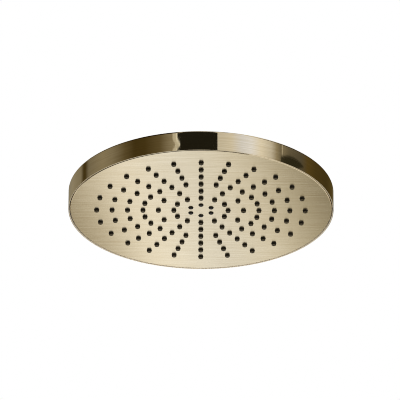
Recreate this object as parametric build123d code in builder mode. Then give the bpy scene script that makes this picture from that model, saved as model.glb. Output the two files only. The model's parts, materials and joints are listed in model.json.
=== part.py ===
from build123d import *
import math
import os

os.makedirs("parts", exist_ok=True)

# Shell of the head, in millimetres
head_diameter = 250.0
rim_height = 20.0
shell_wall = 0.8
rim_top_round = 1.8
rim_lip_round = 0.3
dome_rise = 4.0
pad_diameter = 54.0

# Spray face
seam_gap = 0.95
face_inset = 0.3
face_thickness = 1.5
face_bevel = 0.6

# Nozzles: rings from the centre outwards, each starting on the Y axis
nozzle_ring_counts = (6, 12, 12, 24, 24, 24, 24)
first_ring_radius = 11.0
nozzle_margin = 7.45
nozzle_root_diameter = 4.9
nozzle_tip_diameter = 4.3
nozzle_tip_round = 0.7
nozzle_orifice = 1.0
nozzle_reach = 2.1
first_ring_reach = 1.1
nozzle_clearance = 0.1
mat_thickness = 1.5

# Water chamber cover
cover_wall = 3.0
cover_top_wall = 2.5
cover_flange = 3.0
cover_headroom = 2.2
rib_count = 12
rib_width = 2.0
rib_height = 3.0
tower_wall = 6.5

# Studs that hold the face, the mat and the cover together
stud_count = 12
stud_diameter = 4.0
stud_edge_distance = 9.5
stud_clearance = 0.25
stud_end = 0.8
washer_diameter = 9.0
washer_thickness = 0.8
washer_gap = 0.5
stud_nut_flats = 7.0
stud_nut_height = 3.2
stud_thread_gap = 0.05

# Inlet socket for a G1/2 pipe end
inlet_thread_minor_radius = 9.32
inlet_thread_major_radius = 10.48
inlet_thread_length = 11.0
inlet_relief_extra = 0.12
inlet_relief_length = 3.2
collar_wall = 3.0
collar_height = 17.0
collar_chamfer = 0.8
spanner_flat_depth = 1.5
spanner_flat_height = 9.0

# Filter and flow regulator in the socket
gasket_thickness = 2.0
gasket_clearance = 0.3
gasket_land = 0.3
screen_ledge = 0.9
screen_clearance = 0.1
screen_thickness = 0.5
screen_recess = 0.8
screen_mesh_pitch = 1.3
screen_mesh_opening = 0.85
regulator_pocket_wall = 2.4
regulator_pocket_depth = 3.5
regulator_clearance = 0.1
regulator_height = 3.2
regulator_wall = 1.4
regulator_post_radius = 1.8
regulator_groove_depth = 2.0
regulator_hole_count = 8
regulator_hole_diameter = 1.1
regulator_ring_section = 1.4

# Ball joint
ball_diameter = 22.0
water_bore_diameter = 7.0
tilt_range = 15.0
tilt_clearance = 0.45
collar_clearance = 0.9
liner_clearance = 0.1
liner_thickness = 1.8
liner_stem_gap = 0.6
liner_wrap = 20.0
liner_slit = 1.0
lip_clearance = 0.3
lip_land = 1.1
lip_chamfer = 1.0
nut_wall = 2.9
nut_chamfer = 0.8
nut_plain_band = 6.0
flute_count = 24
flute_radius = 1.6
flute_depth = 0.6
thread_gap = 0.1
thread_engagement = 7.0
seal_gap = 0.2
seal_fit = 0.1
seal_depth = 2.5
seal_bore_diameter = 12.4
seal_tilt_margin = 2.0
seal_top_gap = 0.2

# Neck of the head
neck_wall = 1.0
neck_top_drop = 4.0
neck_chamfer = 0.6
neck_hole_clearance = 0.3
neck_bore_diameter = 12.0
neck_flange_width = 8.0
neck_flange_thickness = 3.0
neck_ring_inset = 2.5
neck_ring_width = 3.0
neck_ring_depth = 1.4
neck_ring_gap = 0.2
neck_washer_width = 6.0
neck_washer_thickness = 1.0
lock_nut_flats = 36.0
lock_nut_height = 5.0
lock_nut_chamfer = 1.0
nut_gap = 1.0

# Radii of the head, from the rim inwards
head_radius = head_diameter / 2
skirt_radius = head_radius - shell_wall
face_radius = skirt_radius - seam_gap
stud_circle = face_radius - stud_edge_distance
stud_land = washer_diameter / 2 + washer_gap
cover_radius = stud_circle - stud_land
chamber_radius = cover_radius - cover_wall
flange_radius = stud_circle + stud_land
outer_ring_radius = chamber_radius - nozzle_margin
ring_pitch = (outer_ring_radius - first_ring_radius) / (len(nozzle_ring_counts) - 1)
nozzle_hole_radius = nozzle_root_diameter / 2 + nozzle_clearance
stud_radius = stud_diameter / 2
stud_hole_radius = stud_radius + stud_clearance
pad_radius = pad_diameter / 2

# Radii of the ball joint, from the ball outwards
ball_radius = ball_diameter / 2
water_bore_radius = water_bore_diameter / 2
liner_inner_radius = ball_radius + liner_clearance
liner_outer_radius = liner_inner_radius + liner_thickness
socket_radius = liner_outer_radius + liner_clearance
lip_radius = ball_radius + lip_clearance
neck_radius = socket_radius + neck_wall
nut_bore_radius = neck_radius + thread_gap
nut_radius = nut_bore_radius + nut_wall
seal_radius = ball_radius + seal_gap
seal_bore_radius = seal_bore_diameter / 2
neck_bore_radius = neck_bore_diameter / 2
neck_hole_radius = neck_radius + neck_hole_clearance
neck_flange_radius = neck_radius + neck_flange_width
tower_radius = neck_hole_radius + tower_wall

# Heights about the ball's centre: the stem clears the nut's lip, and the nut clears the collar, at full tilt
tilt = math.radians(tilt_range)
lip_seat_rise = math.sqrt(socket_radius**2 - lip_radius**2)
lip_top_rise = lip_seat_rise + lip_land
nut_top_rise = lip_top_rise + lip_chamfer
stem_radius = (lip_radius - tilt_clearance) * math.cos(tilt) - lip_top_rise * math.sin(tilt)
collar_rise = nut_top_rise * math.cos(tilt) + nut_radius * math.sin(tilt) + collar_clearance

# Levels, from the mouth of the inlet at zero down to the rim
socket_floor = -(inlet_thread_length + inlet_relief_length)
pocket_floor = socket_floor - regulator_pocket_depth
ball_z = -(collar_height + collar_rise)
nut_top = ball_z + nut_top_rise
neck_top = ball_z - neck_top_drop
nut_bottom = neck_top - thread_engagement
seal_ledge = ball_z - ball_radius - seal_depth
lock_nut_bottom = nut_bottom - nut_gap - lock_nut_height
pad_top = lock_nut_bottom - neck_washer_thickness
pad_underside = pad_top - shell_wall
rim_top = pad_top - dome_rise
skirt_top = rim_top - shell_wall
rim_bottom = rim_top - rim_height

# Levels inside the head, from the face up
face_bottom = rim_bottom + face_inset
face_top = face_bottom + face_thickness
mat_top = face_top + mat_thickness
flange_top = mat_top + cover_flange
stud_top = flange_top + washer_thickness + stud_nut_height + stud_end
cover_top = skirt_top - cover_headroom - rib_height
chamber_top = cover_top - cover_top_wall
neck_bottom = chamber_top - neck_flange_thickness

# Angles from the top of the ball
lip_angle = math.degrees(math.asin(lip_radius / socket_radius))
stem_angle = math.degrees(math.asin(stem_radius / ball_radius))
bore_angle = 180 - math.degrees(math.asin(water_bore_radius / ball_radius))
liner_top_angle = math.degrees(math.asin((stem_radius + liner_stem_gap) / liner_inner_radius))
liner_bottom_angle = 90 + liner_wrap
neck_top_angle = math.degrees(math.acos(-neck_top_drop / socket_radius))
seal_pocket_angle = liner_bottom_angle + tilt_range + seal_tilt_margin
seal_bore_angle = 180 - math.degrees(math.asin(seal_bore_radius / seal_radius))


def ball_point(radius, angle):
    """The radius and level of a point at an angle from the top of the ball."""
    turn = math.radians(angle)
    return (radius * math.sin(turn), ball_z + radius * math.cos(turn))


def ball_arc(radius, start, end):
    """An arc about the ball's centre, between two angles from its top."""
    middle = (start + end) / 2
    return ThreePointArc(ball_point(radius, start), ball_point(radius, middle), ball_point(radius, end))


def dome_radius(edge_radius):
    """Radius of the sphere about the axis that falls by the dome's rise from the pad to an edge."""
    centre_drop = (edge_radius**2 + dome_rise**2 - pad_radius**2) / (2 * dome_rise)
    return math.hypot(pad_radius, centre_drop)


def full_circles(builder):
    """The closed circular edges of the part so far."""
    return builder.edges().filter_by(GeomType.CIRCLE).filter_by(lambda edge: edge.is_closed)


def nozzle_rings():
    """The radius, nozzle count and reach below the face of each ring."""
    for index, count in enumerate(nozzle_ring_counts):
        reach = nozzle_reach if index else first_ring_reach
        yield first_ring_radius + index * ring_pitch, count, reach


# Ball connector: inlet collar, stem and ball, turned in one piece
collar_radius = inlet_thread_major_radius + collar_wall
relief_radius = inlet_thread_major_radius + inlet_relief_extra
pocket_radius = stem_radius - regulator_pocket_wall
spanner_flat_offset = collar_radius - spanner_flat_depth

with BuildPart() as ball_connector:
    with BuildSketch(Plane.XZ):
        with BuildLine():
            Polyline(
                ball_point(ball_radius, bore_angle),
                (water_bore_radius, pocket_floor),
                (pocket_radius, pocket_floor),
                (pocket_radius, socket_floor),
                (relief_radius, socket_floor),
                (relief_radius, -inlet_thread_length),
                (inlet_thread_minor_radius, -inlet_thread_length),
                (inlet_thread_minor_radius, 0),
                (collar_radius - collar_chamfer, 0),
                (collar_radius, -collar_chamfer),
                (collar_radius, collar_chamfer - collar_height),
                (collar_radius - collar_chamfer, -collar_height),
                (stem_radius, -collar_height),
                ball_point(ball_radius, stem_angle),
            )
            ball_arc(ball_radius, stem_angle, bore_angle)
        make_face()
    revolve(axis=Axis.Z)
    with BuildSketch(Plane.XY.offset(-collar_height)):
        with Locations((0, spanner_flat_offset + collar_radius), (0, -spanner_flat_offset - collar_radius)):
            Rectangle(2 * collar_radius, 2 * collar_radius)
    extrude(amount=spanner_flat_height, mode=Mode.SUBTRACT)
ball_connector.part.label = "ball_connector"
export_step(ball_connector.part, "parts/ball_connector.step")

# Filter gasket: stepped washer on the socket's floor
gasket_radius = relief_radius - gasket_clearance
gasket_bore_radius = pocket_radius + gasket_land
screen_radius = gasket_bore_radius + screen_ledge
gasket_top = socket_floor + gasket_thickness
screen_seat = gasket_top - screen_recess

with BuildPart() as filter_gasket:
    with BuildSketch(Plane.XY.offset(socket_floor)):
        Circle(gasket_radius)
        Circle(gasket_bore_radius, mode=Mode.SUBTRACT)
    extrude(amount=gasket_thickness)
    with BuildSketch(Plane.XY.offset(gasket_top)):
        Circle(screen_radius + screen_clearance)
    extrude(amount=-screen_recess, mode=Mode.SUBTRACT)
filter_gasket.part.label = "filter_gasket"
export_step(filter_gasket.part, "parts/filter_gasket.step")

# Filter screen: disc with a square mesh inside the gasket's bore
mesh_half_count = int(gasket_bore_radius / screen_mesh_pitch)
mesh_steps = range(-mesh_half_count, mesh_half_count + 1)
mesh_reach = gasket_bore_radius - screen_mesh_opening
mesh_places = [(x * screen_mesh_pitch, y * screen_mesh_pitch) for x in mesh_steps for y in mesh_steps]
mesh_openings = [place for place in mesh_places if math.hypot(*place) < mesh_reach]

with BuildPart() as filter_screen:
    with BuildSketch(Plane.XY.offset(screen_seat)):
        Circle(screen_radius)
        with Locations(*mesh_openings):
            Rectangle(screen_mesh_opening, screen_mesh_opening, mode=Mode.SUBTRACT)
    extrude(amount=screen_thickness)
filter_screen.part.label = "filter_screen"
export_step(filter_screen.part, "parts/filter_screen.step")

# Flow regulator: cup with a centre post and a ring of holes
regulator_radius = pocket_radius - regulator_clearance
regulator_top = pocket_floor + regulator_height
regulator_groove_radius = regulator_radius - regulator_wall
regulator_groove_floor = regulator_top - regulator_groove_depth
regulator_ring_radius = (regulator_groove_radius + regulator_post_radius) / 2

with BuildPart() as flow_regulator:
    with BuildSketch(Plane.XY.offset(pocket_floor)):
        Circle(regulator_radius)
        with PolarLocations(regulator_ring_radius, regulator_hole_count):
            Circle(regulator_hole_diameter / 2, mode=Mode.SUBTRACT)
    extrude(amount=regulator_height)
    with BuildSketch(Plane.XY.offset(regulator_top)):
        Circle(regulator_groove_radius)
        Circle(regulator_post_radius, mode=Mode.SUBTRACT)
    extrude(amount=-regulator_groove_depth, mode=Mode.SUBTRACT)
flow_regulator.part.label = "flow_regulator"
export_step(flow_regulator.part, "parts/flow_regulator.step")

# Regulator ring: elastic ring on the groove's floor
regulator_ring_level = regulator_groove_floor + regulator_ring_section / 2

with BuildPart() as regulator_o_ring:
    with BuildSketch(Plane.XZ):
        with Locations((regulator_ring_radius, regulator_ring_level)):
            Circle(regulator_ring_section / 2)
    revolve(axis=Axis.Z)
regulator_o_ring.part.label = "regulator_o_ring"
export_step(regulator_o_ring.part, "parts/regulator_o_ring.step")

# Ball liner: split ring that follows the ball
with BuildPart() as ball_liner:
    with BuildSketch(Plane.XZ):
        with BuildLine():
            ball_arc(liner_inner_radius, liner_top_angle, liner_bottom_angle)
            Line(
                ball_point(liner_inner_radius, liner_bottom_angle),
                ball_point(liner_outer_radius, liner_bottom_angle),
            )
            ball_arc(liner_outer_radius, liner_bottom_angle, liner_top_angle)
            Line(
                ball_point(liner_outer_radius, liner_top_angle),
                ball_point(liner_inner_radius, liner_top_angle),
            )
        make_face()
    revolve(axis=Axis.Z)
    with BuildSketch(Plane.XY.offset(ball_z)):
        with Locations((0, liner_outer_radius)):
            Rectangle(liner_slit, 2 * liner_outer_radius)
    extrude(amount=liner_outer_radius, both=True, mode=Mode.SUBTRACT)
ball_liner.part.label = "ball_liner"
export_step(ball_liner.part, "parts/ball_liner.step")

# Swivel nut: spherical seat over the liner, threaded on the neck, fluted for grip
nut_step = neck_top + nut_gap / 2
flute_circle = nut_radius + flute_radius - flute_depth
flute_height = nut_top - nut_plain_band - nut_bottom

with BuildPart() as swivel_nut:
    with BuildSketch(Plane.XZ):
        with BuildLine():
            ball_arc(socket_radius, lip_angle, 90)
            Polyline(
                ball_point(socket_radius, 90),
                (socket_radius, nut_step),
                (nut_bore_radius, nut_step),
                (nut_bore_radius, nut_bottom),
                (nut_radius - nut_chamfer, nut_bottom),
                (nut_radius, nut_bottom + nut_chamfer),
                (nut_radius, nut_top - nut_chamfer),
                (nut_radius - nut_chamfer, nut_top),
                (lip_radius + lip_chamfer, nut_top),
                (lip_radius, nut_top - lip_chamfer),
                ball_point(socket_radius, lip_angle),
            )
        make_face()
    revolve(axis=Axis.Z)
    with BuildSketch(Plane.XY.offset(nut_bottom)):
        with PolarLocations(flute_circle, flute_count):
            Circle(flute_radius)
    extrude(amount=flute_height, mode=Mode.SUBTRACT)
swivel_nut.part.label = "swivel_nut"
export_step(swivel_nut.part, "parts/swivel_nut.step")

# Ball seal: ring on the neck's ledge, hollowed to the ball
seal_pocket_radius, seal_pocket_top = ball_point(socket_radius, seal_pocket_angle)
seal_outer_radius = seal_pocket_radius - seal_fit
seal_top = seal_pocket_top - seal_top_gap
seal_top_angle = math.degrees(math.acos((seal_top - ball_z) / seal_radius))

with BuildPart() as ball_seal:
    with BuildSketch(Plane.XZ):
        with BuildLine():
            ball_arc(seal_radius, seal_top_angle, seal_bore_angle)
            Polyline(
                ball_point(seal_radius, seal_bore_angle),
                (seal_bore_radius, seal_ledge),
                (seal_outer_radius, seal_ledge),
                (seal_outer_radius, seal_top),
                ball_point(seal_radius, seal_top_angle),
            )
        make_face()
    revolve(axis=Axis.Z)
ball_seal.part.label = "ball_seal"
export_step(ball_seal.part, "parts/ball_seal.step")

# Inlet neck: threaded tube with a seat for the seal and a flange inside the chamber
neck_ring_inner = neck_radius + neck_ring_inset
neck_ring_outer = neck_ring_inner + neck_ring_width
neck_ring_floor = chamber_top - neck_ring_depth

with BuildPart() as inlet_neck:
    with BuildSketch(Plane.XZ):
        with BuildLine():
            ball_arc(socket_radius, neck_top_angle, seal_pocket_angle)
            Polyline(
                ball_point(socket_radius, seal_pocket_angle),
                (seal_pocket_radius, seal_ledge),
                (neck_bore_radius, seal_ledge),
                (neck_bore_radius, neck_bottom),
                (neck_flange_radius, neck_bottom),
                (neck_flange_radius, chamber_top),
                (neck_ring_outer, chamber_top),
                (neck_ring_outer, neck_ring_floor),
                (neck_ring_inner, neck_ring_floor),
                (neck_ring_inner, chamber_top),
                (neck_radius, chamber_top),
                (neck_radius, neck_top - neck_chamfer),
                (neck_radius - neck_chamfer, neck_top),
                ball_point(socket_radius, neck_top_angle),
            )
        make_face()
    revolve(axis=Axis.Z)
inlet_neck.part.label = "inlet_neck"
export_step(inlet_neck.part, "parts/inlet_neck.step")

# Neck gasket: flat ring squeezed between the flange's groove and the cover
with BuildPart() as neck_gasket:
    with BuildSketch(Plane.XY.offset(neck_ring_floor)):
        Circle(neck_ring_outer - neck_ring_gap)
        Circle(neck_ring_inner + neck_ring_gap, mode=Mode.SUBTRACT)
    extrude(amount=neck_ring_depth)
neck_gasket.part.label = "neck_gasket"
export_step(neck_gasket.part, "parts/neck_gasket.step")

# Neck washer on the shell's pad
with BuildPart() as neck_washer:
    with BuildSketch(Plane.XY.offset(pad_top)):
        Circle(neck_hole_radius + neck_washer_width)
        Circle(neck_hole_radius, mode=Mode.SUBTRACT)
    extrude(amount=neck_washer_thickness)
neck_washer.part.label = "neck_washer"
export_step(neck_washer.part, "parts/neck_washer.step")

# Lock nut: thin hexagon with its top corners turned off
lock_nut_top = lock_nut_bottom + lock_nut_height
lock_nut_corner = lock_nut_flats / math.sqrt(3)

with BuildPart() as lock_nut:
    with BuildSketch(Plane.XY.offset(lock_nut_bottom)):
        RegularPolygon(lock_nut_flats / 2, 6, major_radius=False)
        Circle(nut_bore_radius, mode=Mode.SUBTRACT)
    extrude(amount=lock_nut_height)
    with BuildSketch(Plane.XZ):
        with BuildLine():
            Polyline(
                (0, lock_nut_bottom),
                (lock_nut_corner, lock_nut_bottom),
                (lock_nut_corner, lock_nut_top - lock_nut_chamfer),
                (lock_nut_flats / 2 - lock_nut_chamfer, lock_nut_top),
                (0, lock_nut_top),
                close=True,
            )
        make_face()
    revolve(axis=Axis.Z, mode=Mode.INTERSECT)
lock_nut.part.label = "lock_nut"
export_step(lock_nut.part, "parts/lock_nut.step")

# Housing: spun shell with a flat pad, a shallow dome and an upright rim
with BuildPart() as housing:
    with BuildSketch(Plane.XZ):
        with BuildLine():
            Line((neck_hole_radius, pad_top), (pad_radius, pad_top))
            RadiusArc((pad_radius, pad_top), (head_radius, rim_top), dome_radius(head_radius))
            Polyline(
                (head_radius, rim_top),
                (head_radius, rim_bottom),
                (skirt_radius, rim_bottom),
                (skirt_radius, skirt_top),
            )
            RadiusArc((pad_radius, pad_underside), (skirt_radius, skirt_top), dome_radius(skirt_radius))
            Polyline(
                (pad_radius, pad_underside),
                (neck_hole_radius, pad_underside),
                (neck_hole_radius, pad_top),
            )
        make_face()
    revolve(axis=Axis.Z)
    fillet(full_circles(housing).group_by(SortBy.RADIUS)[-2].sort_by(Axis.Z)[-1], rim_top_round - shell_wall)
    fillet(full_circles(housing).group_by(SortBy.RADIUS)[-1].sort_by(Axis.Z)[-1], rim_top_round)
    fillet(full_circles(housing).group_by(Axis.Z)[0], rim_lip_round)
housing.part.label = "housing"
export_step(housing.part, "parts/housing.step")

# Chamber cover: shallow dish with a clamped flange, a tower under the pad and stiffening ribs
rib_start = tower_radius - tower_wall / 2
rib_end = cover_radius - cover_wall / 2

with BuildPart() as chamber_cover:
    with BuildSketch(Plane.XZ):
        with BuildLine():
            Polyline(
                (neck_hole_radius, chamber_top),
                (chamber_radius, chamber_top),
                (chamber_radius, mat_top),
                (flange_radius, mat_top),
                (flange_radius, flange_top),
                (cover_radius, flange_top),
                (cover_radius, cover_top),
                (tower_radius, cover_top),
                (tower_radius, pad_underside),
                (neck_hole_radius, pad_underside),
                close=True,
            )
        make_face()
    revolve(axis=Axis.Z)
    with BuildSketch(Plane.XY.offset(cover_top)):
        with PolarLocations((rib_start + rib_end) / 2, rib_count):
            Rectangle(rib_end - rib_start, rib_width)
    extrude(amount=rib_height)
    with BuildSketch(Plane.XY.offset(mat_top)):
        with PolarLocations(stud_circle, stud_count):
            Circle(stud_hole_radius)
    extrude(amount=cover_flange, mode=Mode.SUBTRACT)
    with BuildSketch(Plane.XY.offset(cover_top)):
        Circle(neck_hole_radius)
    extrude(amount=rib_height, mode=Mode.SUBTRACT)
chamber_cover.part.label = "chamber_cover"
export_step(chamber_cover.part, "parts/chamber_cover.step")

# Nozzle mat: silicone sheet with tapered nozzles that pass through the face
with BuildPart() as nozzle_mat:
    with BuildSketch(Plane.XY.offset(face_top)):
        Circle(flange_radius)
        with PolarLocations(stud_circle, stud_count):
            Circle(stud_hole_radius, mode=Mode.SUBTRACT)
    extrude(amount=mat_thickness)
    with Locations((0, 0, face_top)):
        for ring_radius, nozzle_count, reach in nozzle_rings():
            with PolarLocations(ring_radius, nozzle_count, start_angle=90):
                Cone(
                    nozzle_tip_diameter / 2,
                    nozzle_root_diameter / 2,
                    face_thickness + reach,
                    align=(Align.CENTER, Align.CENTER, Align.MAX),
                )
    flat_ends = nozzle_mat.faces().filter_by(Axis.Z).filter_by(lambda face: face.center().Z < face_bottom)
    fillet(flat_ends.edges(), nozzle_tip_round)
    with BuildSketch(Plane.XY.offset(mat_top)):
        for ring_radius, nozzle_count, reach in nozzle_rings():
            with PolarLocations(ring_radius, nozzle_count, start_angle=90):
                Circle(nozzle_orifice / 2)
    extrude(amount=-(mat_thickness + face_thickness + nozzle_reach), mode=Mode.SUBTRACT)
nozzle_mat.part.label = "nozzle_mat"
export_step(nozzle_mat.part, "parts/nozzle_mat.step")

# Face plate: bevelled disc with a hole for each nozzle
with BuildPart() as face_plate:
    with BuildSketch(Plane.XY.offset(face_bottom)):
        Circle(face_radius)
        for ring_radius, nozzle_count, reach in nozzle_rings():
            with PolarLocations(ring_radius, nozzle_count, start_angle=90):
                Circle(nozzle_hole_radius, mode=Mode.SUBTRACT)
    extrude(amount=face_thickness)
    face_edges = face_plate.edges().filter_by(GeomType.CIRCLE)
    chamfer(face_edges.group_by(SortBy.RADIUS)[-1].sort_by(Axis.Z)[0], face_bevel)
face_plate.part.label = "face_plate"
export_step(face_plate.part, "parts/face_plate.step")

# Studs welded to the back of the face
with BuildPart() as face_studs:
    with BuildSketch(Plane.XY.offset(face_top)):
        with PolarLocations(stud_circle, stud_count):
            Circle(stud_radius)
    extrude(amount=stud_top - face_top)
face_studs.part.label = "face_studs"
export_step(face_studs.part, "parts/face_studs.step")

# Washers on the cover's flange
with BuildPart() as stud_washers:
    with BuildSketch(Plane.XY.offset(flange_top)):
        with PolarLocations(stud_circle, stud_count):
            Circle(washer_diameter / 2)
            Circle(stud_hole_radius, mode=Mode.SUBTRACT)
    extrude(amount=washer_thickness)
stud_washers.part.label = "stud_washers"
export_step(stud_washers.part, "parts/stud_washers.step")

# Nuts on the studs
with BuildPart() as stud_nuts:
    with BuildSketch(Plane.XY.offset(flange_top + washer_thickness)):
        with PolarLocations(stud_circle, stud_count):
            RegularPolygon(stud_nut_flats / 2, 6, major_radius=False)
            Circle(stud_radius + stud_thread_gap, mode=Mode.SUBTRACT)
    extrude(amount=stud_nut_height)
stud_nuts.part.label = "stud_nuts"
export_step(stud_nuts.part, "parts/stud_nuts.step")
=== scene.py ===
import json
import math

import bmesh
import bpy
from mathutils import Matrix, Vector


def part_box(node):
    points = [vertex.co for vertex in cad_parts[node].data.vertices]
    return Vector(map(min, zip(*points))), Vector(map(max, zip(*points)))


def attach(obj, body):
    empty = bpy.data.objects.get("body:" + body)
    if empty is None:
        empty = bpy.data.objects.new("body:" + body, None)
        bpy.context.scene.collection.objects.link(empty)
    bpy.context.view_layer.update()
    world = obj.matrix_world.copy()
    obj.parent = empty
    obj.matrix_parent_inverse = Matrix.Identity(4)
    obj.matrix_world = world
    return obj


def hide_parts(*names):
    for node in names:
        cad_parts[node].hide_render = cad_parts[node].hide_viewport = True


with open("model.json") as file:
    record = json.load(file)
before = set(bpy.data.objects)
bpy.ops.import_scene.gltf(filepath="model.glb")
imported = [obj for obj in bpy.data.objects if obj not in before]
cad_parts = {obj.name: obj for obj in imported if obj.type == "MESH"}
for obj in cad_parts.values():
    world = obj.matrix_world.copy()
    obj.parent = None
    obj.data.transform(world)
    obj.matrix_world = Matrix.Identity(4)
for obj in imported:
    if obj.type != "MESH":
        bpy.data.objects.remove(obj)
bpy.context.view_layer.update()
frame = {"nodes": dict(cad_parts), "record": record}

# Places taken from the frame, in metres
face_low, face_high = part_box("face_plate")
face_level = face_low.z
face_radius = face_high.x
rim_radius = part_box("housing")[1].x
inlet = frame["record"]["mounts"][0]
thread_minor_radius = inlet["dims"]["r_mm"] / 1000
thread_length = inlet["dims"]["length_mm"] / 1000

# Half-inch pipe thread of the inlet
inch = 0.0254
threads_per_inch = 14
thread_pitch = inch / threads_per_inch
thread_depth_share = 0.6403
thread_depth = thread_depth_share * thread_pitch
thread_half_angle = math.radians(27.5)
thread_root_flat = 0.00030
thread_overcut = 0.00012
thread_steps_per_turn = 48
thread_sharp_angle = math.radians(25)
weld_distance = 1e-7

# The photograph's camera: below the head, on its -Y side
camera_elevation = math.radians(-26.83)
camera_distance = 6.0
camera_lens = 573.0
camera_sensor_width = 36.0
camera_clip_end = 200.0
camera_roll = math.radians(-0.25)
frame_shift_right = -0.00095
frame_shift_up = 0.0097
pixel_filter_width = 1.0

# Noise under all the finishes: its make-up and the middle of its range
noise_detail = 3.0
noise_roughness = 0.55
noise_middle = (0.36, 0.64)

# Brushed face, in linear colours. Its marks: scale along the brushing, scale across it, share
streak_light = (0.85, 0.74, 0.54)
streak_deep = (0.65, 0.53, 0.34)
brush_marks = (
    (9.0, 260.0, 0.2),
    (22.0, 800.0, 0.45),
    (80.0, 4000.0, 0.35),
)
face_roughness = 0.22
face_anisotropy = 0.6
face_wander = 0.04
face_mark_depth = 0.00002

# Turned metals: light and deep colour, roughness, anisotropy, wander of the roughness, depth of the marks
metals = {
    "bronze_gloss": ((0.82, 0.71, 0.515), (0.68, 0.56, 0.365), 0.042, 0.4, 0.010, 0.0000015),
    "plain_brass": ((0.78, 0.60, 0.28), (0.66, 0.48, 0.20), 0.28, 0.6, 0.06, 0.00003),
    "steel": ((0.62, 0.62, 0.61), (0.50, 0.50, 0.50), 0.30, 0.4, 0.06, 0.00002),
}

# Marks of turning on these metals: scale round the axis, scale across it, share
turning_marks = (
    (3.0, 900.0, 0.5),
    (9.0, 5000.0, 0.5),
)
turning_rotation = 0.25
metal_bump = 0.3

# Mouldings: light and deep colour, roughness, scale of the grain, depth of the grain, specular level
mouldings = {
    "black_silicone": ((0.009, 0.007, 0.004), (0.006, 0.005, 0.003), 0.45, 2500.0, 0.00001, 0.12),
    "black_rubber": ((0.020, 0.020, 0.020), (0.012, 0.012, 0.012), 0.6, 2000.0, 0.00003, 0.5),
    "white_acetal": ((0.80, 0.80, 0.77), (0.74, 0.74, 0.71), 0.35, 1500.0, 0.00001, 0.5),
    "regulator_plastic": ((0.74, 0.76, 0.74), (0.68, 0.70, 0.68), 0.4, 1500.0, 0.00001, 0.5),
    "chamber_plastic": ((0.25, 0.26, 0.27), (0.20, 0.21, 0.22), 0.5, 1200.0, 0.00002, 0.5),
    "black_nylon": ((0.022, 0.022, 0.022), (0.015, 0.015, 0.015), 0.45, 1800.0, 0.00002, 0.5),
}
mould_cloud = 60.0
mould_wander = 0.06
mould_bump = 0.5

# Painted highlight on the tips of the silicone nozzles: a brown colour on their lowest part, which stands
# in for the light the tips mirror
nozzle_tip_height = 0.00035
nozzle_tip_painted_highlight = (0.056, 0.040, 0.013)
nozzle_tip_specular = 0.25

# Satin zones at the rim's foot: the rim's inside has a rough satin finish with a pale painted highlight
# on it, and the face's edge a brown painted shade for the shadow in the seam
satin_roughness = 1.0
lip_painted_highlight = (0.97, 0.92, 0.82)
seam_painted_shade = (0.55, 0.45, 0.29)
satin_height = 0.004
rim_wall = 0.0008
rim_lip = 0.0003
face_bevel = 0.0006

# Light colours of the studio around the head
cool_white = (0.82, 0.88, 1.05)
warm_white = (0.88, 0.87, 0.83)
warm_grey = (0.27, 0.24, 0.17)
mid_brown = (0.125, 0.098, 0.046)
dark_brown = (0.060, 0.042, 0.012)
flag_black = (0.016, 0.015, 0.010)
soft_white = (0.80, 0.79, 0.76)
overhead_white = (0.85, 0.84, 0.81)
backdrop_white = (1.0, 1.0, 1.0)

# Upright panels round the head: azimuth in degrees from the camera's side, colour and level
panels = (
    (-180.0, warm_grey, 0.8),
    (-150.0, warm_grey, 1.15),
    (-129.5, warm_grey, 0.95),
    (-124.5, dark_brown, 1.15),
    (-120.5, dark_brown, 1.15),
    (-115.0, warm_grey, 0.8),
    (-95.0, warm_grey, 1.1),
    (-84.0, warm_grey, 0.95),
    (-70.0, mid_brown, 1.0),
    (-60.0, dark_brown, 1.1),
    (-50.0, dark_brown, 1.2),
    (-36.0, mid_brown, 1.05),
    (-26.0, warm_grey, 1.05),
    (-10.0, warm_grey, 1.2),
    (13.0, warm_white, 0.78),
    (20.0, warm_white, 0.83),
    (26.0, warm_white, 0.90),
    (35.0, cool_white, 1.0),
    (44.0, cool_white, 1.13),
    (53.0, warm_white, 1.02),
    (63.0, warm_white, 0.75),
    (69.0, warm_grey, 1.25),
    (73.0, warm_grey, 0.75),
    (77.5, warm_grey, 0.87),
    (82.0, warm_grey, 0.6),
    (87.0, warm_grey, 0.50),
    (97.0, warm_grey, 0.38),
    (106.0, dark_brown, 1.8),
    (119.0, dark_brown, 1.25),
    (140.0, dark_brown, 1.05),
    (160.0, dark_brown, 1.5),
    (180.0, warm_grey, 0.8),
)
panel_foot = (math.radians(3), math.radians(12))
panel_top = (math.radians(34), math.radians(42))
overhead_foot = (math.radians(53), math.radians(58))
overhead_side = (math.radians(7.5), math.radians(11))
zenith_edge = (math.radians(77), math.radians(83))
zenith_share = 0.6

# Card behind and below the head that the face mirrors: place across it in metres, colour
card_distance = 0.35
card_width = 0.7
card_height = 0.5
card_fade_reach = 0.05
card_fade = (0.98, 1.00)
card_slant = -0.45
card_tones = (
    (-0.150, (0.30, 0.27, 0.20)),
    (-0.110, (0.56, 0.53, 0.45)),
    (-0.065, (1.13, 1.15, 1.16)),
    (0.000, (0.94, 0.99, 1.07)),
    (0.060, (0.89, 0.89, 0.85)),
    (0.105, (0.49, 0.465, 0.375)),
    (0.150, (0.24, 0.22, 0.17)),
)

# Black flag in front of the head with a rounded notch in its left edge, and two light strips beside it
flag_distance = 0.39
flag_left = -0.1232
flag_right = 0.0813
flag_foot = -0.20
flag_top = 0.45
notch_level = 0.0774
notch_depth = 0.0169
notch_rise = 0.0128
notch_fall = 0.0024
strip_reach = 0.028
strip_lift = 0.0045
strip_white = (0.60, 0.58, 0.50)
line_reach = 0.008
line_white = (0.84, 0.84, 0.78)
edge_steps = 24

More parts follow.
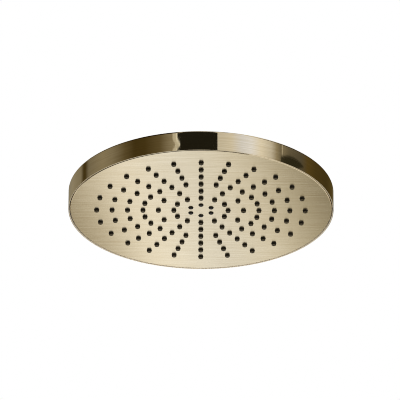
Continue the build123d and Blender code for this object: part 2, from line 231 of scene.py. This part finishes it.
# Leaf-shaped dark card and thin light strip on the head's right
side_distance = 0.42
leaf_near = (-0.205, 0.1190)
leaf_far = (-0.016, 0.1015)
leaf_sag = 0.014
leaf_blunt = 0.15
leaf_brown = (0.028, 0.026, 0.014)
sliver_place = -0.191
sliver_width = 0.010
sliver_foot = 0.119
sliver_top = 0.150
sliver_white = (0.46, 0.43, 0.35)

# Soft card behind and above the head, mirrored by its dome
back_place = (0.0, 0.75, 0.95)
back_width = 1.6
back_height = 0.5
back_tones = (
    (0.0, (0.05, 0.045, 0.035)),
    (0.35, (0.75, 0.74, 0.70)),
    (0.65, (0.75, 0.74, 0.70)),
    (1.0, (0.05, 0.045, 0.035)),
)

# Dark ring-shaped card just below the front of the rim, mirrored by its lip and the face's edge
low_level = -0.12
low_inner_radius = 0.135
low_outer_radius = 0.21
low_span = (math.radians(-115), math.radians(28))
low_brown = (0.030, 0.024, 0.014)

# Pale floor, with a faint cloud in its colour
floor_level = -3.6
floor_size = 120.0
floor_light = (0.84, 0.84, 0.83)
floor_deep = (0.80, 0.80, 0.79)
floor_cloud = 1.5
floor_roughness = 0.8
floor_tint = (1.0, 0.99, 0.97)
floor_glow = 0.62


def add_node(tree, kind, inputs=None, **settings):
    """A new node with its settings made and its inputs set or linked."""
    node = tree.nodes.new(kind)
    for name, value in settings.items():
        setattr(node, name, value)
    for name, value in (inputs or {}).items():
        if isinstance(value, bpy.types.NodeSocket):
            tree.links.new(value, node.inputs[name])
        else:
            node.inputs[name].default_value = value
    return node


def math_node(tree, operation, first, second):
    """The output of a Math node."""
    return add_node(tree, "ShaderNodeMath", {0: first, 1: second}, operation=operation).outputs[0]


def vector_node(tree, operation, *vectors):
    """The outputs of a Vector Math node."""
    return add_node(tree, "ShaderNodeVectorMath", dict(enumerate(vectors)), operation=operation).outputs


def mixed(tree, factor, first, second):
    """A colour between two others, each a socket or a tone."""
    sockets = {0: factor}
    for index, colour in ((6, first), (7, second)):
        sockets[index] = colour if isinstance(colour, bpy.types.NodeSocket) else (*colour, 1.0)
    return add_node(tree, "ShaderNodeMix", sockets, data_type="RGBA").outputs[2]


def mixed_value(tree, factor, first, second):
    """A value between two others."""
    return add_node(tree, "ShaderNodeMix", {0: factor, 2: first, 3: second}, data_type="FLOAT").outputs[0]


def map_range(tree, value, source, target=(0.0, 1.0), **settings):
    """A value moved from one range to another."""
    inputs = {"Value": value, "From Min": source[0], "From Max": source[1]}
    inputs.update({"To Min": target[0], "To Max": target[1]})
    return add_node(tree, "ShaderNodeMapRange", inputs, **settings).outputs["Result"]


def colour_ramp(tree, place, stops):
    """The colour of a ramp with stops from 0 to 1."""
    ramp = add_node(tree, "ShaderNodeValToRGB", {"Fac": place})
    elements = ramp.color_ramp.elements
    while len(elements) > 1:
        elements.remove(elements[-1])
    for index, (position, colour) in enumerate(stops):
        element = elements[0] if index == 0 else elements.new(position)
        element.position = position
        element.color = (*colour, 1.0)
    return ramp.outputs["Color"]


def new_material(name):
    """A material with its node tree and its Principled shader."""
    material = bpy.data.materials.new(name)
    material.use_nodes = True
    return material, material.node_tree, material.node_tree.nodes["Principled BSDF"]


def noise(tree, vector):
    """The value of a Noise Texture over a vector that is already scaled."""
    inputs = {"Vector": vector, "Scale": 1.0, "Detail": noise_detail, "Roughness": noise_roughness}
    return add_node(tree, "ShaderNodeTexNoise", inputs).outputs["Fac"]


def spread(tree, value, low, high):
    """The middle of a noise value's range, stretched from low to high."""
    return map_range(tree, value, noise_middle, (low, high))


def object_point(tree):
    """The point's place in the piece's own frame."""
    return add_node(tree, "ShaderNodeTexCoord").outputs["Object"]


def scaled(tree, vector, scale):
    """A vector with each part multiplied."""
    return vector_node(tree, "MULTIPLY", vector, scale)["Vector"]


def blended(tree, *shares):
    """The sum of values, each with its weight."""
    total = None
    for value, weight in shares:
        part = math_node(tree, "MULTIPLY", value, weight)
        total = part if total is None else math_node(tree, "ADD", total, part)
    return total


def flat_point(tree):
    """The point's place as seen along the Z axis."""
    return scaled(tree, object_point(tree), (1.0, 1.0, 0.0))


def axis_radius(tree):
    """The point's distance from the Z axis."""
    return vector_node(tree, "LENGTH", flat_point(tree))["Value"]


def point_level(tree):
    """The point's height in the piece's own frame."""
    return add_node(tree, "ShaderNodeSeparateXYZ", {0: object_point(tree)}).outputs["Z"]


def satin_with_painted_tone(tree, shader, colour, roughness, tone, low, high):
    """Gives a shader its colour and roughness, and between two radii at the rim's foot a satin roughness
    with a given painted tone: the callers pass a painted highlight and a painted shade.
    """
    radius = axis_radius(tree)
    outside_low = math_node(tree, "GREATER_THAN", radius, low)
    inside_high = math_node(tree, "LESS_THAN", radius, high)
    near_foot = math_node(tree, "LESS_THAN", point_level(tree), face_level + satin_height)
    inside = math_node(tree, "MULTIPLY", math_node(tree, "MULTIPLY", outside_low, inside_high), near_foot)
    tree.links.new(mixed(tree, inside, colour, tone), shader.inputs["Base Color"])
    tree.links.new(mixed_value(tree, inside, roughness, satin_roughness), shader.inputs["Roughness"])


def brushed_point(tree, along, across):
    """Coordinates that are stretched along X, for marks left by straight brushing."""
    return scaled(tree, object_point(tree), (along, across, 1.0))


def turned_point(tree, along, across):
    """Coordinates that are stretched round the Z axis, for marks left by turning."""
    heading = vector_node(tree, "NORMALIZE", flat_point(tree))["Vector"]
    ring = scaled(tree, heading, (along, along, 0.0))
    profile = math_node(tree, "ADD", axis_radius(tree), point_level(tree))
    rise = math_node(tree, "MULTIPLY", profile, across)
    lift = add_node(tree, "ShaderNodeCombineXYZ", {"Z": rise}).outputs[0]
    return vector_node(tree, "ADD", ring, lift)["Vector"]


def tool_marks(tree, stretched_point, marks):
    """The sum of several noises over stretched coordinates, each with its share."""
    noises = []
    for along, across, share in marks:
        noises.append((noise(tree, stretched_point(tree, along, across)), share))
    return blended(tree, *noises)


def bump(tree, shader, height, distance, strength):
    """Bump on a shader from a height value."""
    inputs = {"Height": height, "Distance": distance, "Strength": strength}
    node = add_node(tree, "ShaderNodeBump", inputs)
    tree.links.new(node.outputs["Normal"], shader.inputs["Normal"])


def brushed_face_material():
    """Light bronze with straight brushing along X, in a satin finish."""
    material, tree, shader = new_material("bronze_brushed")
    marks = tool_marks(tree, brushed_point, brush_marks)
    colour = mixed(tree, spread(tree, marks, 0.0, 1.0), streak_deep, streak_light)
    sheen = spread(tree, marks, face_roughness - face_wander, face_roughness + face_wander)
    # The face's edge at the rim's foot gets a brown painted shade, standing for the shadow in the seam
    satin_with_painted_tone(tree, shader, colour, sheen, seam_painted_shade, face_radius - face_bevel / 4, rim_radius)
    shader.inputs["Metallic"].default_value = 1.0
    shader.inputs["Anisotropic"].default_value = face_anisotropy
    across = add_node(tree, "ShaderNodeVectorTransform", {0: (0.0, 1.0, 0.0)}, vector_type="VECTOR",
                      convert_from="OBJECT", convert_to="WORLD")
    tree.links.new(across.outputs[0], shader.inputs["Tangent"])
    bump(tree, shader, marks, face_mark_depth, metal_bump)
    return material


def turned_metal(name, light, deep, roughness, anisotropy, wander, depth):
    """Metal with fine circular brushing round the Z axis."""
    material, tree, shader = new_material(name)
    marks = tool_marks(tree, turned_point, turning_marks)
    colour = mixed(tree, spread(tree, marks, 0.0, 1.0), deep, light)
    sheen = spread(tree, marks, roughness - wander, roughness + wander)
    lip_middle = rim_radius - rim_wall + rim_lip / 2
    # The rim's inside at its foot gets a pale painted highlight on its rough satin finish
    satin_with_painted_tone(tree, shader, colour, sheen, lip_painted_highlight, face_radius, lip_middle)
    shader.inputs["Metallic"].default_value = 1.0
    shader.inputs["Anisotropic"].default_value = anisotropy
    shader.inputs["Anisotropic Rotation"].default_value = turning_rotation
    around = add_node(tree, "ShaderNodeTangent", direction_type="RADIAL", axis="Z")
    tree.links.new(around.outputs["Tangent"], shader.inputs["Tangent"])
    bump(tree, shader, marks, depth, metal_bump)
    return material


def cloud(tree, scale):
    """Noise of one scale in all directions."""
    return noise(tree, scaled(tree, object_point(tree), (scale, scale, scale)))


def moulded(name, light, deep, roughness, grain, depth, specular, tip_level=None):
    """Plastic or rubber with a fine moulded grain, and a brown painted highlight on the tips below a
    level if there is one.
    """
    material, tree, shader = new_material(name)
    colour = mixed(tree, spread(tree, cloud(tree, mould_cloud), 0.0, 1.0), deep, light)
    speck = cloud(tree, grain)
    sheen = spread(tree, speck, roughness - mould_wander, roughness + mould_wander)
    if tip_level is not None:
        # Painted highlight: the nozzle tips below the level are coloured brown
        on_tip = math_node(tree, "LESS_THAN", point_level(tree), tip_level)
        colour = mixed(tree, on_tip, colour, nozzle_tip_painted_highlight)
        gloss = mixed_value(tree, on_tip, specular, nozzle_tip_specular)
        tree.links.new(gloss, shader.inputs["Specular IOR Level"])
    else:
        shader.inputs["Specular IOR Level"].default_value = specular
    tree.links.new(colour, shader.inputs["Base Color"])
    tree.links.new(sheen, shader.inputs["Roughness"])
    bump(tree, shader, speck, depth, mould_bump)
    return material


def link_mesh(name, mesh):
    """An object for a mesh, in the scene."""
    piece = bpy.data.objects.new(name, mesh)
    bpy.context.scene.collection.objects.link(piece)
    return piece


def closed_mesh(mesh):
    """The mesh with its doubled points joined and its faces turned outwards."""
    work = bmesh.new()
    work.from_mesh(mesh)
    bmesh.ops.remove_doubles(work, verts=work.verts, dist=weld_distance)
    bmesh.ops.recalc_face_normals(work, faces=work.faces)
    work.to_mesh(mesh)
    work.free()
    return mesh


def thread_cutter():
    """The helical groove of the inlet's thread as a closed solid."""
    outer_radius = thread_minor_radius + thread_depth
    inner_radius = thread_minor_radius - thread_overcut
    root_half = thread_root_flat / 2
    mouth_half = root_half + (outer_radius - inner_radius) * math.tan(thread_half_angle)
    section = (
        (inner_radius, -mouth_half),
        (outer_radius, -root_half),
        (outer_radius, root_half),
        (inner_radius, mouth_half),
    )
    bottom = -thread_length - thread_pitch
    turns = (thread_length + 2 * thread_pitch) / thread_pitch
    steps = round(turns * thread_steps_per_turn)
    corners = []
    for step in range(steps + 1):
        angle = 2 * math.pi * step / thread_steps_per_turn
        level = bottom + thread_pitch * step / thread_steps_per_turn
        for radius, lift in section:
            corners.append((radius * math.cos(angle), radius * math.sin(angle), level + lift))
    size = len(section)
    faces = [tuple(range(size)), tuple(range(steps * size, (steps + 1) * size))]
    for step in range(steps):
        for side in range(size):
            here = step * size + side
            beside = step * size + (side + 1) % size
            faces.append((here, beside, beside + size, here + size))
    mesh = bpy.data.meshes.new("thread_cutter")
    mesh.from_pydata(corners, [], faces)
    return link_mesh("thread_cutter", closed_mesh(mesh))


def threaded_connector():
    """The ball connector with the pipe thread cut into its inlet."""
    plain = frame["nodes"]["ball_connector"]
    piece = link_mesh("threaded_connector", closed_mesh(plain.data.copy()))
    cutter = thread_cutter()
    cut = piece.modifiers.new("thread", "BOOLEAN")
    cut.operation = "DIFFERENCE"
    cut.solver = "EXACT"
    cut.object = cutter
    bpy.context.view_layer.update()
    shaped = piece.evaluated_get(bpy.context.evaluated_depsgraph_get())
    threaded = bpy.data.meshes.new_from_object(shaped)
    piece.modifiers.clear()
    piece.data = threaded
    bpy.data.objects.remove(cutter)
    threaded.polygons.foreach_set("use_smooth", [True] * len(threaded.polygons))
    threaded.set_sharp_from_angle(angle=thread_sharp_angle)
    threaded.materials.clear()
    threaded.materials.append(finishes["bronze_gloss"])
    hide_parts("ball_connector")
    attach(piece, "connector")


def camera_axes():
    """Right, up and forward of the photograph's view."""
    forward = Vector((0.0, math.cos(camera_elevation), -math.sin(camera_elevation)))
    right = Vector((1.0, 0.0, 0.0))
    up = right.cross(forward)
    return right, up, forward


def add_camera():
    """The camera, turned a little about its own axis as in the photograph."""
    right, up, forward = camera_axes()
    target = Vector((0.0, 0.0, face_level)) + right * frame_shift_right + up * frame_shift_up
    rolled = Matrix.Rotation(camera_roll, 3, forward)
    axes = Matrix((rolled @ right, rolled @ up, -forward)).transposed().to_4x4()
    lens = bpy.data.cameras.new("camera")
    lens.lens = camera_lens
    lens.sensor_width = camera_sensor_width
    lens.clip_end = camera_clip_end
    camera = bpy.data.objects.new("camera", lens)
    camera.matrix_world = Matrix.Translation(target - forward * camera_distance) @ axes
    bpy.context.scene.collection.objects.link(camera)
    bpy.context.scene.camera = camera


def between(tree, sine, edge):
    """A smooth step from 0 to 1 between two angles, over a value that is an angle's sine."""
    source = (math.sin(edge[0]), math.sin(edge[1]))
    return map_range(tree, sine, source, interpolation_type="SMOOTHSTEP")


def add_world():
    """A white backdrop for the camera, and a studio with upright panels for the metal."""
    world = bpy.data.worlds.new("studio")
    bpy.context.scene.world = world
    world.use_nodes = True
    tree = world.node_tree
    direction = add_node(tree, "ShaderNodeTexCoord").outputs["Generated"]
    parts = add_node(tree, "ShaderNodeSeparateXYZ", {0: direction})
    front = math_node(tree, "MULTIPLY", parts.outputs["Y"], -1.0)
    heading = math_node(tree, "ARCTAN2", parts.outputs["X"], front)
    place = math_node(tree, "ADD", math_node(tree, "DIVIDE", heading, 2 * math.pi), 0.5)
    stops = []
    for azimuth, tone, level in panels:
        stops.append((azimuth / 360 + 0.5, [channel * level for channel in tone]))
    sides = colour_ramp(tree, place, stops)
    rise = parts.outputs["Z"]
    dimmed = scaled(tree, sides, sides)
    lower = mixed(tree, between(tree, rise, panel_foot), soft_white, sides)
    upper = mixed(tree, between(tree, rise, panel_top), lower, dimmed)
    on_right = between(tree, parts.outputs["X"], overhead_side)
    right_box = math_node(tree, "MULTIPLY", between(tree, rise, overhead_foot), on_right)
    top_box = math_node(tree, "MULTIPLY", between(tree, rise, zenith_edge), zenith_share)
    overhead = math_node(tree, "MAXIMUM", right_box, top_box)
    studio = mixed(tree, overhead, upper, overhead_white)
    seen = add_node(tree, "ShaderNodeLightPath").outputs["Is Camera Ray"]
    tree.links.new(mixed(tree, seen, studio, backdrop_white), tree.nodes["Background"].inputs["Color"])


def flat_shape(name, corners):
    """A flat piece of the stage with the given corners."""
    mesh = bpy.data.meshes.new(name)
    mesh.from_pydata(corners, [], [tuple(range(len(corners)))])
    shape = link_mesh(name, mesh)
    return shape


def rectangle(centre, across, upright):
    """The corners of a rectangle round a point, from two half-sides."""
    return [centre + across * i + upright * j for i, j in ((-1, -1), (1, -1), (1, 1), (-1, 1))]


def glowing_material(name):
    """A material that only glows, with its node tree and its Emission shader."""
    material = bpy.data.materials.new(name)
    material.use_nodes = True
    tree = material.node_tree
    tree.nodes.clear()
    glow = add_node(tree, "ShaderNodeEmission")
    add_node(tree, "ShaderNodeOutputMaterial", {"Surface": glow.outputs[0]})
    return material, tree, glow


def show_in_metal_only(card, material):
    """Gives a card its material and hides it from the camera and from shadows."""
    card.data.materials.append(material)
    card.visible_camera = False
    card.visible_shadow = False


def add_plain_card(name, corners, tone):
    """A card of one tone, seen only in the metal."""
    material, _, glow = glowing_material(name)
    glow.inputs["Color"].default_value = (*tone, 1.0)
    show_in_metal_only(flat_shape(name, corners), material)


def notched_edge(reach, lift):
    """The flag's left edge with its notch, moved left and up, from its foot to its top."""
    left = flag_left - reach
    level = notch_level + lift
    edge = [(left, flag_foot)]
    for step in range(edge_steps + 1):
        turn = 2 * step / edge_steps - 1
        height = notch_rise if turn > 0 else notch_fall
        edge.append((left + notch_depth * math.cos(math.pi / 2 * turn) ** 2, level + height * turn))
    edge.append((left, flag_top))
    return edge


def add_flag():
    """The black flag in front of the head, and the light line and strip along its left edge."""
    inner = notched_edge(0.0, 0.0)
    middle = notched_edge(line_reach, 0.0)
    outer = notched_edge(strip_reach, strip_lift)
    right_edge = [(flag_right, flag_top), (flag_right, flag_foot)]
    shapes = (
        ("flag", inner + right_edge, flag_black),
        ("flag_line", middle + inner[::-1], line_white),
        ("flag_strip", outer + middle[::-1], strip_white),
    )
    for name, outline, tone in shapes:
        add_plain_card(name, [(across, -flag_distance, level) for across, level in outline], tone)


def add_side_cards():
    """The leaf-shaped dark card and the thin light strip on the head's right."""
    places = [step / edge_steps for step in range(edge_steps + 1)]
    chord = [[near + (far - near) * share for near, far in zip(leaf_near, leaf_far)] for share in places]
    swell = [math.sin(math.pi * (leaf_blunt + (1 - leaf_blunt) * share)) for share in places]
    belly = [(y, z - leaf_sag * share) for (y, z), share in zip(chord, swell)]
    leaf = chord[:1] + belly[:-1] + chord[-1:]
    add_plain_card("leaf", [(side_distance, y, z) for y, z in leaf], leaf_brown)
    half = sliver_width / 2
    sliver = ((-half, sliver_foot), (half, sliver_foot), (half, sliver_top), (-half, sliver_top))
    add_plain_card("sliver", [(side_distance, sliver_place + y, z) for y, z in sliver], sliver_white)


def add_back_card():
    """The soft card behind and above the head."""
    centre = Vector(back_place)
    across = Vector((back_width / 2, 0.0, 0.0))
    upright = across.cross(centre).normalized() * back_height / 2
    card = flat_shape("back_card", rectangle(centre, across, upright))
    material, tree, glow = glowing_material("back_card")
    reach = abs(upright.z)
    share = map_range(tree, point_level(tree), (centre.z - reach, centre.z + reach))
    tree.links.new(colour_ramp(tree, share, back_tones), glow.inputs["Color"])
    show_in_metal_only(card, material)


def low_arc(radius):
    """One curved edge of the low card, from left to right."""
    start, end = low_span
    turns = [start + (end - start) * step / edge_steps for step in range(edge_steps + 1)]
    return [(radius * math.sin(turn), -radius * math.cos(turn), low_level) for turn in turns]


def add_low_card():
    """The dark ring-shaped card below the front of the rim."""
    add_plain_card("low_card", low_arc(low_outer_radius) + low_arc(low_inner_radius)[::-1], low_brown)


def add_floor():
    """A plain pale floor well below the head."""
    half = floor_size / 2
    centre = Vector((0.0, 0.0, floor_level))
    floor = flat_shape("floor", rectangle(centre, Vector((half, 0.0, 0.0)), Vector((0.0, half, 0.0))))
    material, tree, shader = new_material("floor")
    shade = cloud(tree, floor_cloud)
    tree.links.new(mixed(tree, shade, floor_deep, floor_light), shader.inputs["Base Color"])
    shader.inputs["Roughness"].default_value = floor_roughness
    shader.inputs["Emission Color"].default_value = (*floor_tint, 1.0)
    shader.inputs["Emission Strength"].default_value = floor_glow
    floor.data.materials.append(material)


def add_face_card():
    """A soft card behind and below the head, brightest left of the middle, that the face mirrors."""
    right, _, forward = camera_axes()
    mirrored = Vector((forward.x, forward.y, -forward.z))
    centre = Vector((0.0, 0.0, face_level)) + mirrored * card_distance
    upright = mirrored.cross(right)
    card = flat_shape("face_card", rectangle(centre, right * card_width / 2, upright * card_height / 2))
    material, tree, glow = glowing_material("face_card")
    low, high = card_tones[0][0], card_tones[-1][0]
    place = add_node(tree, "ShaderNodeSeparateXYZ", {0: object_point(tree)}).outputs
    slanted = blended(tree, (place["X"], 1.0), (place["Z"], card_slant))
    shift = card_slant * centre.z
    share = map_range(tree, slanted, (low + shift, high + shift))
    stops = [((across - low) / (high - low), tone) for across, tone in card_tones]
    tree.links.new(colour_ramp(tree, share, stops), glow.inputs["Color"])
    fade_zone = (centre.z - card_fade_reach, centre.z + card_fade_reach)
    tree.links.new(map_range(tree, place["Z"], fade_zone, card_fade), glow.inputs["Strength"])
    show_in_metal_only(card, material)


tip_levels = {"black_silicone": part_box("nozzle_mat")[0].z + nozzle_tip_height}
finishes = {"bronze_brushed": brushed_face_material()}
for name, values in metals.items():
    finishes[name] = turned_metal(name, *values)
for name, values in mouldings.items():
    finishes[name] = moulded(name, *values, tip_levels.get(name))
for subpart in frame["record"]["subparts"]:
    node = frame["nodes"][subpart["node"]]
    node.data.materials.clear()
    node.data.materials.append(finishes[subpart["material_slot"]])

threaded_connector()
add_floor()
add_face_card()
add_flag()
add_side_cards()
add_back_card()
add_low_card()
add_world()
add_camera()
bpy.context.scene.view_settings.view_transform = "Standard"
bpy.context.scene.cycles.filter_width = pixel_filter_width
